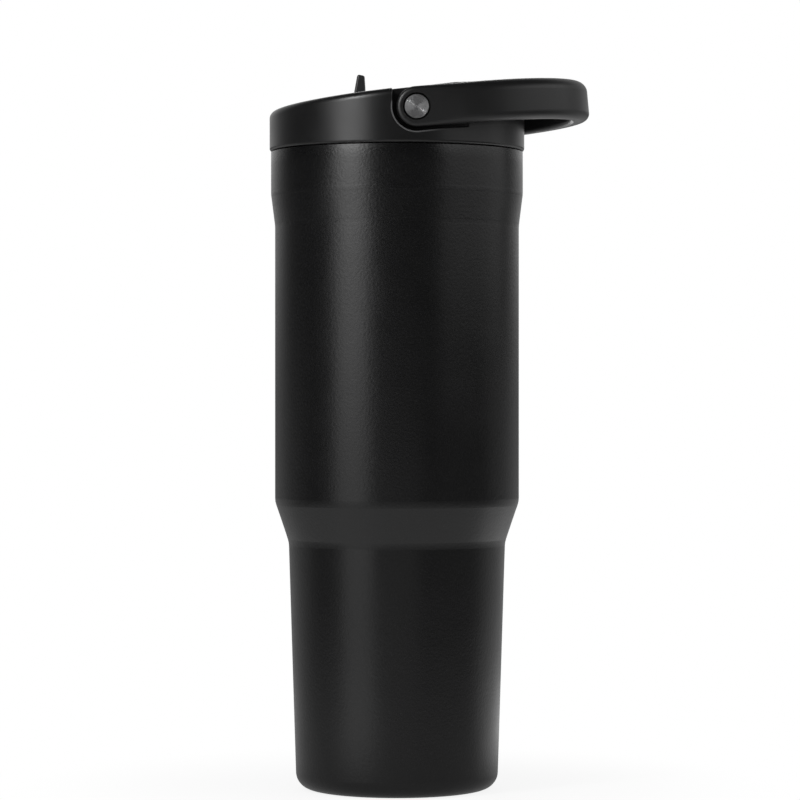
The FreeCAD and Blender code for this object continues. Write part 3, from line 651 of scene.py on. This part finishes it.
def makeFloor():
    reach = floor["reach"]
    corners = [(-reach, -reach, 0), (reach, -reach, 0), (reach, reach, 0), (-reach, reach, 0)]
    mesh = bpy.data.meshes.new("floor")
    mesh.from_pydata(corners, [], [(0, 1, 2, 3)])
    ground = bpy.data.objects.new("floor", mesh)
    ground.location.z = -floor["below"]
    bpy.context.scene.collection.objects.link(ground)
    paper = Finish("paleFloor", {"Base Color": (*floor["colour"], 1),
                                 "Roughness": floor["roughness"], "Specular IOR Level": 0.0})
    paper.material.cycles.emission_sampling = "NONE"
    seen = paper.node("ShaderNodeLightPath", {}, {}, "Is Camera Ray")
    radius = paper.lengthOf(paper.place())
    plain = paper.spread(radius, *floor["shadowReach"], 1 - floor["shadow"], 1.0)
    lit = Wire(paper, paper.shader.outputs[0])
    shown = paper.mixShader(seen * plain, lit, paper.emission(1.0))
    bright = paper.emission(floorGlow["strength"])
    gleam = paper.mixShader(glowOf(paper), paper.emission(0.0), bright)
    both = paper.mixShader(seen.sibling("Is Glossy Ray"), shown, gleam)
    # from below the floor is clear, so that the mug's base can be seen
    beneath = paper.node("ShaderNodeNewGeometry", {}, {}, "Backfacing")
    clear = paper.node("ShaderNodeBsdfTransparent", {}, {})
    surface = paper.mixShader(seen * beneath, both, clear)
    paper.connect(paper.tree.nodes["Material Output"], {"Surface": surface})
    mesh.materials.append(paper.material)


lamps = {
    # name: (turn from the front in degrees, distance, middle's height, width, tall, glow,
    #        height aimed at)
    "keyFull": (-40.5, 0.340, 0.280, 0.20, 0.62, 0.73, 0.280),
    "keyUpper": (-40.5, 0.335, 0.365, 0.16, 0.47, 0.75, 0.365),
    "keyTop": (-40.5, 0.330, 0.335, 0.12, 0.25, 1.6, 0.335),
    "keyCrown": (-40.5, 0.325, 0.380, 0.12, 0.18, 2.2, 0.380),
    "spark": (-43, 0.45, 0.50, 0.06, 0.06, 60.0, 0.24),
    "sideSoftbox": (76, 0.55, 0.43, 0.80, 0.44, 0.60, 0.42),
    "sideCrown": (76, 0.54, 0.47, 0.80, 0.18, 0.90, 0.44),
    "lowFront": (4, 0.60, 0.05, 0.40, 0.10, 0.30, 0.05),
    "rearStrip": (180, 0.50, 0.36, 0.12, 0.60, 2.2, 0.36),
}


def makeLamps():
    for name, (turn, distance, height, width, tall, glow, aim) in lamps.items():
        lamp = bpy.data.lights.new(name, "AREA")
        lamp.shape = "RECTANGLE"
        lamp.size = width
        lamp.size_y = tall
        lamp.energy = glow * math.pi * width * tall
        holder = bpy.data.objects.new(name, lamp)
        angle = math.radians(turn)
        holder.location = (distance * math.sin(angle), -distance * math.cos(angle), height)
        towards = Vector((0, 0, aim)) - holder.location
        holder.rotation_euler = towards.to_track_quat("-Z", "Y").to_euler()
        holder.visible_camera = False
        bpy.context.scene.collection.objects.link(holder)


view = {
    "place": (1.1 * mm, -1170 * mm, 141 * mm),
    "lens": 146.25,
    "sensor": 36.0,
    "shift": -0.005,
}


def makeCamera():
    lens = bpy.data.cameras.new("camera")
    lens.lens = view["lens"]
    lens.sensor_width = view["sensor"]
    lens.shift_y = view["shift"]
    camera = bpy.data.objects.new("camera", lens)
    camera.location = view["place"]
    camera.rotation_euler = (math.radians(90), 0, 0)
    bpy.context.scene.collection.objects.link(camera)
    bpy.context.scene.camera = camera


print("studio")
makeAir()
makeFloor()
makeLamps()
makeCamera()
bpy.context.scene.view_settings.view_transform = "Standard"

print("done")
